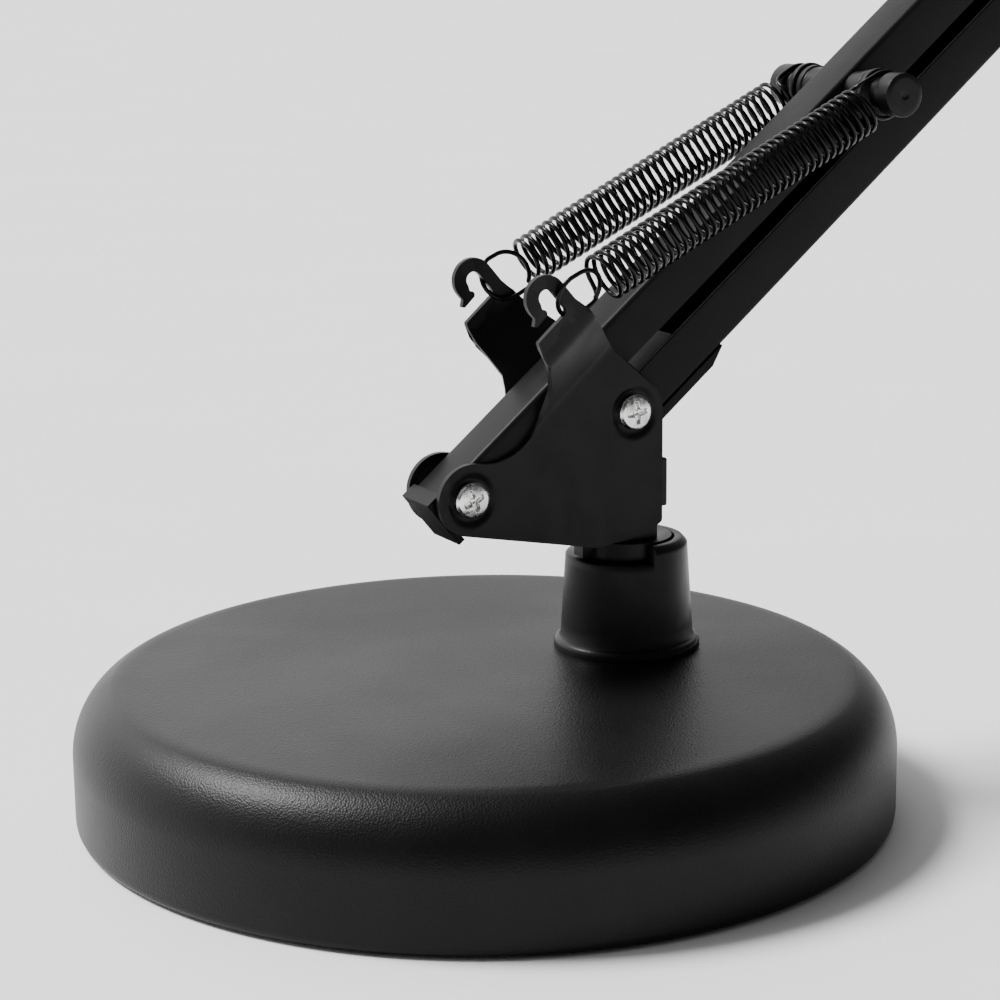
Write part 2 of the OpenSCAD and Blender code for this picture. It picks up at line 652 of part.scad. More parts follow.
module head_cap() color("#171718") on_axis(K[0]) difference() {
    union() {
        rotate_extrude($fn = 96) difference() {
            polygon([[0, cap_top], [12, cap_top], [17, cap_top - 1.5], [housing_r - 3, cap_bottom + 6],
                [housing_r, cap_bottom + 2], [housing_r, cap_bottom], [0, cap_bottom]]);
            polygon([[0, cap_top - 3], [14, cap_top - 4], [housing_r - 5.5, cap_bottom + 4.5],
                [housing_r - housing_wall - 1, cap_bottom - over], [0, cap_bottom - over]]);
        }
        translate([0, 0, cap_top - hub_len]) cylinder(r = head_stem_r + 3.5, h = hub_len - 1);
    }
    translate([0, 0, cap_top - hub_len - over]) cylinder(r = head_stem_r + run_gap, h = hub_len + 2 * over);
    translate([gland_at[0] - K[0], gland_at[1], cap_bottom]) {
        translate([0, 0, -over]) cylinder(r = gland_r - 1, h = 20);
        translate([0, 0, gland_len - flange_h]) cylinder(r = gland_r, h = 20);
    }
}
module lamp_housing() color("#1b1b1c") on_axis(K[0]) difference() {
    translate([0, 0, housing_bottom])
        cylinder(r = housing_r - housing_wall / 2, h = cap_bottom - housing_bottom, $fn = 96);
    translate([0, 0, housing_bottom - over])
        cylinder(r = housing_r - 1.5 * housing_wall, h = housing_h + 2 * over, $fn = 96);
    for (i = [0:vents - 1]) rotate(360 / vents * i + 30) translate([0, -vent_w / 2, housing_top - 13])
        cube([housing_r + over, vent_w, vent_h]);
    translate([-housing_r - over, 0, button_z]) rotate([0, 90, 0]) cylinder(r = button_r + 0.35, h = 12);
}
function bell(t) = 0.62 * sin(90 * t) + 0.38 * t;
function bell_line(r0, r1, z0, z1) = [for (i = [0:18]) let (t = i / 18)
    [r0 + (r1 - r0) * bell(t), z0 + (z1 - z0) * t]];
module shade() color("#1b1b1c") on_axis(K[0]) rotate_extrude($fn = 128) {
    r0 = housing_r - housing_wall / 2;
    inner = bell_line(r0, shade_r - shade_wall, shade_top - 4 - 1.6 * shade_wall, shade_bottom);
    outer = bell_line(r0 + shade_wall, shade_r, shade_top - 4, shade_bottom);
    polygon(concat([[r0, shade_top]], inner, [for (i = [18:-1:0]) outer[i]],
        [[r0 + shade_wall, shade_top]]));
    translate([shade_r - shade_wall / 2, shade_bottom]) circle(r = bead_r, $fn = 24);
}
module lampholder() color("#e8e4da") on_axis(K[0]) difference() {
    union() {
        translate([0, 0, holder_bottom]) cylinder(r = holder_r, h = holder_top - holder_bottom);
        translate([0, 0, holder_top - 3]) cylinder(r = housing_r - 1.5 * housing_wall, h = 3);
    }
    translate([0, 0, holder_bottom - over]) cylinder(r = lamp_r + 0.4, h = holder_top - holder_bottom - 4);
}
module bulb_base() color("silver") on_axis(K[0]) {
    translate([0, 0, holder_bottom - neck_overlap]) cylinder(r = lamp_r, h = 22);
    translate([0, 0, holder_bottom + 17]) cylinder(r1 = lamp_r, r2 = 5, h = 3);
}
// From the bulb's neck down to its tip: a flare that meets the globe, then the globe
function bulb_line(r, neck_r) = let (neck_z = holder_bottom - neck_overlap) concat(
    [for (i = [0:8]) let (t = i / 9) [neck_r + (r * cos(30) - neck_r) * (1 - cos(90 * t)),
        neck_z + (bulb_z + r * sin(30) - neck_z) * t]],
    [for (i = [0:20]) let (a = 30 - 6 * i) [max(0, r * cos(a)), bulb_z + r * sin(a)]]);
module bulb_glass() color("#f4f1e6") on_axis(K[0]) rotate_extrude($fn = 96) {
    outer = bulb_line(bulb_r, lamp_r + 0.6);
    inner = bulb_line(bulb_r - glass_t, lamp_r + 0.6 - glass_t);
    polygon(concat(outer, [for (i = [len(inner) - 1:-1:0]) inner[i]]));
}
module cord_gland() color("#101011") translate([gland_at[0], gland_at[1], cap_bottom]) difference() {
    union() {
        cylinder(r = gland_r - 1, h = gland_len);
        translate([0, 0, gland_len - flange_h]) cylinder(r = gland_r, h = flange_h);
    }
    translate([0, 0, -over]) cylinder(r = gland_bore_r, h = gland_len + 2 * over);
}
module switch_button() color("#d0352b") translate([K[0] - housing_r - 3.5, 0, button_z])
    rotate([0, 90, 0]) cylinder(r = button_r, h = 9);

base_cover();
ballast_weight();
foot_pad();
base_screws();
pivot_socket();
socket_screw();
swivel_bushing();
bracket();
swivel_block();
block_rivets();
bracket_screws();
bracket_nuts();
lower_channel();
lower_foot_plug();
lower_top_plug();
lower_spring_pin();
lower_pin_spools();
lower_link_channel();
lower_link_foot_plug();
lower_link_top_plug();
lower_spring_left();
lower_spring_right();
lower_tail_left();
lower_tail_right();
elbow_plate_left();
elbow_plate_right();
elbow_spacer();
elbow_screws();
elbow_nuts();
upper_channel();
upper_foot_plug();
upper_top_plug();
upper_spring_pin();
upper_pin_spools();
upper_link_channel();
upper_link_foot_plug();
upper_link_top_plug();
upper_spring_left();
upper_spring_right();
upper_tail_left();
upper_tail_right();
yoke_plate_left();
yoke_plate_right();
yoke_screws();
yoke_nuts();
tilt_bolt();
tilt_washers();
tilt_knob();
tilt_knuckle();
stem_nut();
head_cap();
lamp_housing();
shade();
lampholder();
bulb_base();
bulb_glass();
cord_gland();
switch_button();
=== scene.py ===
"""Looks of the spring-balanced desk lamp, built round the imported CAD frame. Metres, +Z up.

Smooth skins replace the CAD's plain solids where the eye is close: the pebbled base cover, the post,
the folded plates, the channels, the wire springs, the spools, the screws and the shade. Every other
node keeps its CAD shape with softened edges. Sizes named here repeat the part's own named sizes, in
millimetres.
"""
import bpy
import math
from mathutils import Matrix, Vector
from mathutils.geometry import delaunay_2d_cdt


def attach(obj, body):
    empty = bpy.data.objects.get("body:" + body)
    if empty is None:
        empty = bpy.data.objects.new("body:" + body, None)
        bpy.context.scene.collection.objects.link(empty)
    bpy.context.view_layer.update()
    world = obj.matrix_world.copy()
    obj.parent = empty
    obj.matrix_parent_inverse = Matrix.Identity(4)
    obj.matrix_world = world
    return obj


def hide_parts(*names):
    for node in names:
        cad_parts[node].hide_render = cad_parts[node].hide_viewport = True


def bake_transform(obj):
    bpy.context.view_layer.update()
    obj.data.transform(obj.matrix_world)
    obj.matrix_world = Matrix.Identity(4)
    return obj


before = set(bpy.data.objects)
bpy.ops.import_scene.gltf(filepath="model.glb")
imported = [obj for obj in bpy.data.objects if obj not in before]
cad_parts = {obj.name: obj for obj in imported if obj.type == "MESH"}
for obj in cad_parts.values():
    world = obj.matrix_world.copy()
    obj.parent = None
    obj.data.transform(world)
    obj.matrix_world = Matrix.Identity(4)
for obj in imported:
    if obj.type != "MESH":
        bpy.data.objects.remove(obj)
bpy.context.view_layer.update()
MM = 0.001
TAU = 2 * math.pi

# ---------------------------------------------------------------- sizes, in millimetres
BASE_R, BASE_H, SIDE_H, SHOULDER_W, SHOULDER_CUT = 95.0, 32.2, 16.6, 14.8, 4.5
COVER_LIFT, COVER_WALL = 0.6, 2.2
SOCKET_X, SOCKET_H, FOOT_D, RIM_D, RIM_DROP = 38.7, 26.6, 31.9, 28.5, 3.8
STOP_ARC, STOP_CENTRE = 118.0, -35.0
PLATE_T, CHANNEL_W, CHANNEL_H, CHANNEL_T, SIDE_GAP = 1.4, 12.6, 11.0, 1.0, 0.4
CHANNEL_TAIL = 6.5
LOWER_LEN, UPPER_LEN, LOWER_ANGLE, UPPER_ANGLE = 370.0, 340.0, 39.0, 140.0
LOBE_R, EAR_FLARE = 8.3, 9.4
COIL_D, WIRE_D, SPRING_REACH = 11.8, 1.1, 137.0


def dir2(a):
    return Vector((math.cos(math.radians(a)), math.sin(math.radians(a))))


def nrm2(a):
    return Vector((-math.sin(math.radians(a)), math.cos(math.radians(a))))


SOCKET_TOP = BASE_H + SOCKET_H
RIM_LOW = SOCKET_TOP - RIM_DROP
PLATE_IN = CHANNEL_W / 2 + SIDE_GAP
PLATE_MID = PLATE_IN + PLATE_T / 2
PLATE_OUT = PLATE_IN + PLATE_T
EAR_Y = PLATE_MID + EAR_FLARE
S1 = Vector((SOCKET_X - 45.7, SOCKET_TOP + 15.5))
S2 = S1 + 45.7 * dir2(20.1)
E1, E2 = S1 + LOWER_LEN * dir2(LOWER_ANGLE), S2 + LOWER_LEN * dir2(LOWER_ANGLE)
U1 = E1 + Vector((12, 34))
U2 = U1 + 20 * dir2(80)
K1, K2 = U1 + UPPER_LEN * dir2(UPPER_ANGLE), U2 + UPPER_LEN * dir2(UPPER_ANGLE)
K = K1 + Vector((-26, -12))
FOLD_ANGLE, FOLD_RISE, EAR_START, EAR_W, EAR_RISE = 40.8, 0.4, 23.4, 25.1, 13.2
HOOK_AT, HOOK_R, EYE_R, SLOT_LOW, SLOT_HIGH = (17.3, 11.8), 5.1, 1.9, 5.6, 8.7
HOOK_SEAT = (EAR_START + 18.35) * dir2(FOLD_ANGLE) + (FOLD_RISE + EAR_RISE + 7.9) * nrm2(FOLD_ANGLE)
LOWER_HOOK, LOWER_PIN = S1 + HOOK_SEAT, S1 + SPRING_REACH * dir2(LOWER_ANGLE)
UPPER_HOOK = U1 + Vector((-HOOK_SEAT.x, HOOK_SEAT.y))
UPPER_PIN = U1 + SPRING_REACH * dir2(UPPER_ANGLE)
WIRE_R = WIRE_D / 2
COIL_R = COIL_D / 2 - WIRE_R
DISH_DEPTH = 0.6


# ---------------------------------------------------------------- materials
class Tree:
    """A node tree with short calls: texture nodes in, one shader out."""

    def __init__(self, name):
        self.mat = bpy.data.materials.new(name)
        self.mat.use_nodes = True
        self.nodes = self.mat.node_tree.nodes
        self.links = self.mat.node_tree.links
        self.shader = self.nodes["Principled BSDF"]
        self.coord = self.nodes.new("ShaderNodeTexCoord").outputs["Object"]

    def node(self, kind, **values):
        n = self.nodes.new("ShaderNode" + kind)
        for key, value in values.items():
            setattr(n, key, value)
        return n

    def put(self, source, socket):
        self.links.new(source, socket)
        return source

    def noise(self, scale, detail=3.0, rough=0.5, stretch=None):
        n = self.node("TexNoise")
        n.inputs["Scale"].default_value = scale
        n.inputs["Detail"].default_value = detail
        n.inputs["Roughness"].default_value = rough
        vector = self.coord
        if stretch:
            m = self.node("Mapping")
            m.inputs["Scale"].default_value = stretch
            self.put(self.coord, m.inputs["Vector"])
            vector = m.outputs["Vector"]
        self.put(vector, n.inputs["Vector"])
        return n.outputs["Fac"]

    def cells(self, scale, smooth=0.6):
        n = self.node("TexVoronoi", feature="SMOOTH_F1")
        n.inputs["Scale"].default_value = scale
        n.inputs["Smoothness"].default_value = smooth
        self.put(self.coord, n.inputs["Vector"])
        return n.outputs["Distance"]

    def span(self, value, low, high, a=0.3, b=0.7):
        n = self.node("MapRange", interpolation_type="SMOOTHSTEP")
        n.inputs["From Min"].default_value = a
        n.inputs["From Max"].default_value = b
        n.inputs["To Min"].default_value = low
        n.inputs["To Max"].default_value = high
        self.put(value, n.inputs["Value"])
        return n.outputs["Result"]

    def ramp(self, value, stops):
        n = self.node("ValToRGB")
        n.color_ramp.elements[0].position, n.color_ramp.elements[0].color = stops[0][0], (*stops[0][1], 1)
        n.color_ramp.elements[1].position, n.color_ramp.elements[1].color = stops[-1][0], (*stops[-1][1], 1)
        for at, colour in stops[1:-1]:
            n.color_ramp.elements.new(at).color = (*colour, 1)
        self.put(value, n.inputs["Fac"])
        return n.outputs["Color"]

    def sum(self, a, b, share):
        n = self.node("Math", operation="MULTIPLY_ADD")
        self.put(b, n.inputs[0])
        n.inputs[1].default_value = share
        self.put(a, n.inputs[2])
        return n.outputs["Value"]

    def edges(self, low=0.505, high=0.56):
        g = self.node("NewGeometry")
        return self.span(g.outputs["Pointiness"], 0.0, 1.0, low, high)

    def mix(self, factor, a, b):
        n = self.node("Mix", data_type="RGBA")
        self.put(factor, n.inputs["Factor"])
        for socket, value in ((n.inputs[6], a), (n.inputs[7], b)):
            if isinstance(value, tuple):
                socket.default_value = (*value, 1)
            else:
                self.put(value, socket)
        return n.outputs[2]

    def bump(self, height, depth, strength=1.0):
        n = self.node("Bump")
        n.inputs["Distance"].default_value = depth
        n.inputs["Strength"].default_value = strength
        self.put(height, n.inputs["Height"])
        self.put(n.outputs["Normal"], self.shader.inputs["Normal"])

    def set(self, **values):
        for key, value in values.items():
            socket = self.shader.inputs[key.replace("_", " ")]
            if isinstance(value, bpy.types.NodeSocket):
                self.put(value, socket)
            else:
                socket.default_value = value
        return self.mat


def grey(v, warm=0.0):
    return (v * (1 + warm), v, v * (1 - warm))


def pebbled_plastic():
    """Moulded black plastic with a fine leathery pebble, worn smoother in soft patches."""
    t = Tree("pebbled_plastic")
    pebble = t.cells(2300, 0.4)
    fine = t.noise(4200, 2)
    broad = t.noise(16, 3)
    t.bump(t.sum(pebble, fine, 0.35), 0.00007, 0.8)
    tone = t.ramp(t.noise(55, 4), [(0.3, grey(0.0022)), (0.55, grey(0.0032)), (0.75, grey(0.0045))])
    speck = t.span(t.noise(2100, 1), 0.0, 0.35, 0.66, 0.80)
    return t.set(Base_Color=t.mix(speck, tone, grey(0.016)), Roughness=t.span(broad, 0.36, 0.43),
                 Specular_IOR_Level=0.16)


def satin_paint(name="satin_paint", dark=0.0018, light=0.0030, rough=(0.34, 0.44), spec=0.15, peel=1.0):
    """Satin black powder coat on steel: faint orange peel, and a painted highlight lightening the sharp edges.
    """
    t = Tree(name)
    t.bump(t.sum(t.noise(900, 2), t.noise(3000, 1), 0.4), 0.00005 * peel, 0.5)
    tone = t.ramp(t.noise(30, 4), [(0.35, grey(dark)), (0.7, grey(light))])
    # painted highlight: sharp convex edges are painted lighter, where light would catch them
    painted_edge_highlight = t.edges()
    return t.set(Base_Color=t.mix(painted_edge_highlight, tone, grey(light * 3.2)), Roughness=t.span(t.noise(120, 4), *rough),
                 Specular_IOR_Level=spec)


def moulded_plastic(name, dark, light, rough=(0.42, 0.55), spec=0.3):
    """Plain moulded black plastic with soft flow marks."""
    t = Tree(name)
    t.bump(t.sum(t.noise(700, 2), t.noise(2600, 1), 0.5), 0.00005, 0.5)
    flow = t.noise(60, 4, 0.6, (1, 1, 0.25))
    return t.set(Base_Color=t.ramp(flow, [(0.3, dark), (0.72, light)]),
                 Roughness=t.span(t.noise(90, 3), *rough),
                 Specular_IOR_Level=spec)


def wire_paint():
    """Glossy black enamel on spring wire."""
    t = Tree("wire_paint")
    t.bump(t.noise(1800, 2), 0.00002, 0.4)
    tone = t.ramp(t.noise(240, 3), [(0.3, grey(0.0012)), (0.75, grey(0.0030))])
    return t.set(Base_Color=tone, Roughness=t.span(t.noise(500, 3), 0.13, 0.20), Specular_IOR_Level=0.15)


def bright_zinc():
    """Bright zinc plating with fine turning marks."""
    t = Tree("bright_zinc")
    t.bump(t.sum(t.noise(1600, 3), t.noise(5200, 2), 0.5), 0.00003, 0.5)
    tone = t.ramp(t.noise(420, 4), [(0.3, (0.52, 0.52, 0.51)), (0.5, (0.74, 0.74, 0.73)),
                                    (0.75, (0.88, 0.88, 0.87))])
    return t.set(Base_Color=tone, Metallic=1.0, Roughness=t.span(t.noise(800, 3), 0.14, 0.30))


def cast_iron():
    """Rough cast iron under thin black paint."""
    t = Tree("cast_iron")
    t.bump(t.sum(t.noise(500, 5, 0.7), t.cells(900), 0.4), 0.0003, 0.8)
    tone = t.ramp(t.noise(80, 5), [(0.3, (0.016, 0.016, 0.017)), (0.7, (0.05, 0.048, 0.046))])
    return t.set(Base_Color=tone, Metallic=0.6, Roughness=t.span(t.noise(200, 4), 0.5, 0.75))


def felt_pad():
    """Dense dark foam under the base."""
    t = Tree("felt_pad")
    t.bump(t.cells(2600, 0.3), 0.0002, 0.8)
    tone = t.ramp(t.noise(300, 4), [(0.3, grey(0.012)), (0.7, grey(0.024))])
    return t.set(Base_Color=tone, Roughness=t.span(t.noise(60, 3), 0.82, 0.95), Specular_IOR_Level=0.2)


def dark_steel():
    """Blackened steel with brushed streaks."""
    t = Tree("dark_steel")
    t.bump(t.noise(1400, 3, 0.5, (1, 0.1, 1)), 0.00003, 0.5)
    tone = t.ramp(t.noise(260, 4), [(0.3, (0.035, 0.036, 0.038)), (0.7, (0.085, 0.085, 0.088))])
    return t.set(Base_Color=tone, Metallic=0.9, Roughness=t.span(t.noise(500, 3), 0.28, 0.45))


def glazed_ceramic():
    """Off-white glazed porcelain with faint speckle."""
    t = Tree("glazed_ceramic")
    t.bump(t.noise(160, 3), 0.0001, 0.4)
    tone = t.ramp(t.noise(700, 4), [(0.3, (0.72, 0.69, 0.62)), (0.5, (0.80, 0.78, 0.72)),
                                    (0.8, (0.84, 0.82, 0.77))])
    return t.set(Base_Color=tone, Roughness=t.span(t.noise(90, 3), 0.16, 0.28), Coat_Weight=0.4)


def thread_brass():
    """Nickelled brass shell of the bulb's cap."""
    t = Tree("thread_brass")
    t.bump(t.noise(1200, 3), 0.00003, 0.5)
    tone = t.ramp(t.noise(350, 4), [(0.3, (0.55, 0.52, 0.46)), (0.7, (0.80, 0.78, 0.72))])
    return t.set(Base_Color=tone, Metallic=1.0, Roughness=t.span(t.noise(420, 3), 0.2, 0.36))


def opal_glass():
    """Opal bulb glass: milky, with a glossy skin."""
    t = Tree("opal_glass")
    t.bump(t.noise(50, 2), 0.0001, 0.3)
    tone = t.ramp(t.noise(70, 4), [(0.3, (0.83, 0.82, 0.78)), (0.7, (0.90, 0.89, 0.86))])
    return t.set(Base_Color=tone, Roughness=t.span(t.noise(220, 3), 0.10, 0.20), Coat_Weight=0.6)


def nylon():
    """Natural nylon of the swivel bushing."""
    t = Tree("nylon")
    t.bump(t.noise(900, 2), 0.00004, 0.5)
    tone = t.ramp(t.noise(110, 4), [(0.3, (0.60, 0.57, 0.48)), (0.7, (0.72, 0.69, 0.60))])
    return t.set(Base_Color=tone, Roughness=t.span(t.noise(90, 3), 0.4, 0.55))


MATERIALS = {
    "base_texture": pebbled_plastic(),
    "iron": cast_iron(),
    "pad": felt_pad(),
    "zinc": bright_zinc(),
    "socket_black": moulded_plastic("socket_plastic", grey(0.0022), grey(0.0045), (0.34, 0.44), 0.18),
    "nylon": nylon(),
    "satin_black": satin_paint(spec=0.17),
    "plug_black": moulded_plastic("plug_plastic", grey(0.0018), grey(0.0036), (0.38, 0.5), 0.12),
    "spring_black": wire_paint(),
    "dark_steel": dark_steel(),
    "shade_black": satin_paint("shade_paint", 0.0045, 0.0075, (0.30, 0.42), 0.35, 1.4),
    "ceramic": glazed_ceramic(),
    "brass": thread_brass(),
    "bulb": opal_glass(),
    "button_black": moulded_plastic("button_plastic", grey(0.010), grey(0.018), (0.34, 0.46), 0.4),
}
CHANNEL_PAINT = satin_paint("channel_paint", spec=0.08)     # the channels' coat is duller than the plates'
SLOT_OF = {}
for slot_name, names in {
    "base_texture": "base_cover",
    "iron": "ballast_weight",
    "pad": "foot_pad",
    "zinc": "base_screws socket_screw bracket_screws bracket_nuts elbow_screws elbow_nuts "
            "yoke_screws yoke_nuts stem_nut tilt_bolt",
    "socket_black": "pivot_socket lower_pin_spools upper_pin_spools tilt_knob",
    "nylon": "swivel_bushing",
    "satin_black": "bracket swivel_block lower_channel lower_link_channel elbow_plate_left elbow_plate_right "
                   "upper_channel upper_link_channel yoke_plate_left yoke_plate_right tilt_knuckle",
    "plug_black": "lower_foot_plug lower_top_plug lower_link_foot_plug lower_link_top_plug upper_foot_plug "
                  "upper_top_plug upper_link_foot_plug upper_link_top_plug cord_gland",
    "spring_black": "lower_spring_left lower_spring_right lower_tail_left lower_tail_right upper_spring_left "
                    "upper_spring_right upper_tail_left upper_tail_right",
    "dark_steel": "block_rivets elbow_spacer tilt_washers lower_spring_pin upper_spring_pin",
    "shade_black": "head_cap lamp_housing shade",
    "ceramic": "lampholder",
    "brass": "bulb_base",
    "bulb": "bulb_glass",
    "button_black": "switch_button",
}.items():
    for node_name in names.split():
        SLOT_OF[node_name] = slot_name


# ---------------------------------------------------------------- mesh helpers
def piece(name, verts, faces, slot_name, body=None, replaced=(), smooth=True, sharp=32):
    """A mesh object from points in millimetres, riding on a body and standing for CAD nodes."""
    mesh = bpy.data.meshes.new(name)
    mesh.from_pydata([Vector(v) * MM for v in verts], [], faces)
    mesh.validate()
    mesh.update()
    obj = bpy.data.objects.new(name, mesh)
    bpy.context.scene.collection.objects.link(obj)
    mesh.materials.append(MATERIALS[slot_name])
    if smooth:
        mesh.polygons.foreach_set("use_smooth", [True] * len(mesh.polygons))
        mesh.set_sharp_from_angle(angle=math.radians(sharp))
    if body:
        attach(obj, body)
    if replaced:
        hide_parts(*replaced)
    return obj


def soften(obj, width, segments=3, angle=34):
    """Rounds the sharp edges of a piece or a CAD node with modifiers only."""
    weld = obj.modifiers.new("weld", "WELD")
    weld.merge_threshold = 1e-6
    bevel = obj.modifiers.new("bevel", "BEVEL")
    bevel.width, bevel.segments = width * MM, segments
    bevel.limit_method, bevel.angle_limit = "ANGLE", math.radians(angle)
    bevel.harden_normals = True
    normals = obj.modifiers.new("normals", "WEIGHTED_NORMAL")
    normals.keep_sharp = True


def fillet(points, steps=6):
    """A closed outline of (x, y, radius) corners as points, each corner turned into an arc."""
    out = []
    count = len(points)
    for i, (x, y, r) in enumerate(points):
        p = Vector((x, y))
        before, after = Vector(points[i - 1][:2]) - p, Vector(points[(i + 1) % count][:2]) - p
        turn = before.angle(after)
        if r <= 0 or turn > math.radians(179):
            out.append(p)
            continue
        cut = min(r / math.tan(turn / 2), 0.49 * before.length, 0.49 * after.length)
        a, b = p + before.normalized() * cut, p + after.normalized() * cut
        for k in range(steps + 1):
            t = k / steps
            out.append((1 - t) ** 2 * a + 2 * t * (1 - t) * p + t * t * b)
    return out


def lathe(name, profile, origin, slot_name, body, replaced=(), axis="Z", segments=192, closed=True, sharp=32):
    """Turns a closed (radius, height) outline about an axis through origin."""
    verts, faces = [], []
    count = len(profile)
    for k in range(segments):
        c, s = math.cos(TAU * k / segments), math.sin(TAU * k / segments)
        for r, h in profile:
            local = ((r * c, r * s, h) if axis == "Z" else
                     ((r * c, h, r * s) if axis == "Y" else (h, r * c, r * s)))
            verts.append(Vector(origin) + Vector(local))
    flip = axis == "Y"
    for k in range(segments):
        a, b = k * count, ((k + 1) % segments) * count
        for i in range(count if closed else count - 1):
            j = (i + 1) % count
            if profile[i][0] < 1e-6 and profile[j][0] < 1e-6:
                continue
            if profile[i][0] < 1e-6:
                face = [a + i, b + j, a + j]
            elif profile[j][0] < 1e-6:
                face = [a + i, b + i, a + j]
            else:
                face = [a + i, b + i, b + j, a + j]
            faces.append(face[::-1] if flip else face)
    obj = piece(name, verts, faces, slot_name, body, replaced, sharp=sharp)
    weld = obj.modifiers.new("weld", "WELD")
    weld.merge_threshold = 1e-7
    return obj


def join_meshes(parts):
    """(verts, faces) of several meshes as one."""
    verts, faces = [], []
    for v, f in parts:
        start = len(verts)
        verts += list(v)
        faces += [[i + start for i in face] for face in f]
    return verts, faces


def tube_mesh(path, radius, sides=10, ends=True):
    """A round wire along a path of 3-D points, with domed ends."""
    verts, faces = [], []
    tangent = (path[1] - path[0]).normalized()
    side = tangent.orthogonal().normalized()
    rings = []
    for i, p in enumerate(path):
        ahead = path[min(i + 1, len(path) - 1)] - path[max(i - 1, 0)]
        new = ahead.normalized()
        side = (tangent.rotation_difference(new) @ side)
        side = (side - side.dot(new) * new).normalized()
        tangent = new
        rings.append((p, side.copy(), new.cross(side)))
    for p, u, v in rings:
        for k in range(sides):
            a = TAU * k / sides
            verts.append(p + radius * (math.cos(a) * u + math.sin(a) * v))
    for i in range(len(rings) - 1):
        for k in range(sides):
            j = (k + 1) % sides
            faces.append([i * sides + k, i * sides + j, (i + 1) * sides + j, (i + 1) * sides + k])
    if ends:
        for ring, sign in ((0, -1), (len(rings) - 1, 1)):
            p, u, v = rings[ring]
            along = (path[1] - path[0]).normalized() if ring == 0 else (path[-1] - path[-2]).normalized()
            small = len(verts)
            for k in range(sides):
                a = TAU * k / sides
                verts.append(p + sign * along * radius * 0.5
                             + radius * 0.7 * (math.cos(a) * u + math.sin(a) * v))
            tip = len(verts)
            verts.append(p + sign * along * radius * 0.75)
            for k in range(sides):
                j = (k + 1) % sides
                q = [ring * sides + k, ring * sides + j, small + j, small + k]
                c = [small + k, small + j, tip]
                faces += [q[::-1], c[::-1]] if ring == 0 else [q, c]
    return verts, faces


def extrude_mesh(outline, place, x0, x1):
    """An outline extruded along local x, each point through place(x, u, v)."""
    count = len(outline)
    verts = [place(x, u, v) for x in (x0, x1) for u, v in outline]
    faces = [[i, (i + 1) % count, count + (i + 1) % count, count + i] for i in range(count)]
    return verts, faces + [list(range(count))[::-1], list(range(count, 2 * count))]


# ---------------------------------------------------------------- folded plates
def smoothstep(t):
    t = max(0.0, min(1.0, t))
    return t * t * (3 - 2 * t)


def bend(n):
    """Outward shift of the sheet's middle at height n above the fold line, with soft folds."""
    slope, soft = EAR_FLARE / EAR_RISE, 1.5
    def eased(t):
        return 0 if t <= -soft else (t if t >= soft else (t + soft) ** 2 / (4 * soft))
    return slope * (eased(n - FOLD_RISE) - eased(n - FOLD_RISE - EAR_RISE))


def inside(p, outline):
    hit = False
    for i in range(len(outline)):
        a, b = outline[i - 1], outline[i]
        if (a.y > p.y) != (b.y > p.y) and p.x < (b.x - a.x) * (p.y - a.y) / (b.y - a.y) + a.x:
            hit = not hit
    return hit


def plate_mesh(outline, pivots, ear_at=None, ear_sign=1):
    """A folded sheet with pressed dishes round its pivots. Points are (x, y, z) on the left side."""
    points = list(outline)
    edges = [(i, (i + 1) % len(outline)) for i in range(len(outline))]
    for c in pivots:
        for r in (3.2, 4.2, 5.0, 5.6, 6.1, 6.6, 7.2):
            ring = [c + r * dir2(360 * k / 40 + 3 * r) for k in range(40)]
            points += [q for q in ring if inside(q, outline)]
    if ear_at is not None:
        u, v = dir2(FOLD_ANGLE), nrm2(FOLD_ANGLE)
        rows = [FOLD_RISE + EAR_RISE * m + 0.375 * k for m in (0, 1) for k in range(-6, 7)]
        rows += [FOLD_RISE + 3 + 1.2 * k for k in range(7)] + [-4, -8, FOLD_RISE + EAR_RISE + 3.5]
        for n in rows:
            for k in range(70):
                q = (EAR_START - 3 + 0.45 * k) * u + n * v
                q = ear_at + Vector((ear_sign * q.x, q.y))
                if inside(q, outline) and min((q - c).length for c in pivots) > 7.3:
                    points.append(q)
    keep = []
    for q in points:
        if len(keep) < len(outline) or all((q - o).length > 0.16 for o in outline):
            keep.append(q)
    flat, _, tris, *_ = delaunay_2d_cdt(keep, edges, [], 0, 1e-5)
    faces = [list(f) for f in tris if inside(sum((flat[i] for i in f), Vector((0, 0))) / len(f), outline)]
    verts = []
    for q in flat:
        y = PLATE_MID
        if ear_at is not None:
            d = Vector(((q.x - ear_at.x) * ear_sign, q.y - ear_at.y))
            along, n = d.dot(dir2(FOLD_ANGLE)), d.dot(nrm2(FOLD_ANGLE))
            if along > EAR_START - 4:
                y += bend(n)
        near = min((q - c).length for c in pivots)
        y -= DISH_DEPTH * 1.15 * (1 - smoothstep((near - 5.1) / 1.5))
        verts.append((q.x, y, q.y))
    return verts, faces


def sheet_piece(name, parts, slot_name, body, replaced):
    """Sheets given at mid-thickness, thickened and with their cut edges rounded."""
    verts, faces = join_meshes(parts)
    obj = piece(name, verts, faces, slot_name, body, replaced, sharp=180)
    solid = obj.modifiers.new("sheet", "SOLIDIFY")
    solid.thickness, solid.offset = PLATE_T * MM, 0
    solid.use_even_offset = False
    bevel = obj.modifiers.new("edges", "BEVEL")
    bevel.width, bevel.segments = 0.28 * MM, 3
    bevel.limit_method, bevel.angle_limit = "ANGLE", math.radians(55)
    bevel.harden_normals = True
    return obj


def mirror_y(mesh):
    verts, faces = mesh
    return [(x, -y, z) for x, y, z in verts], [list(f)[::-1] for f in faces]


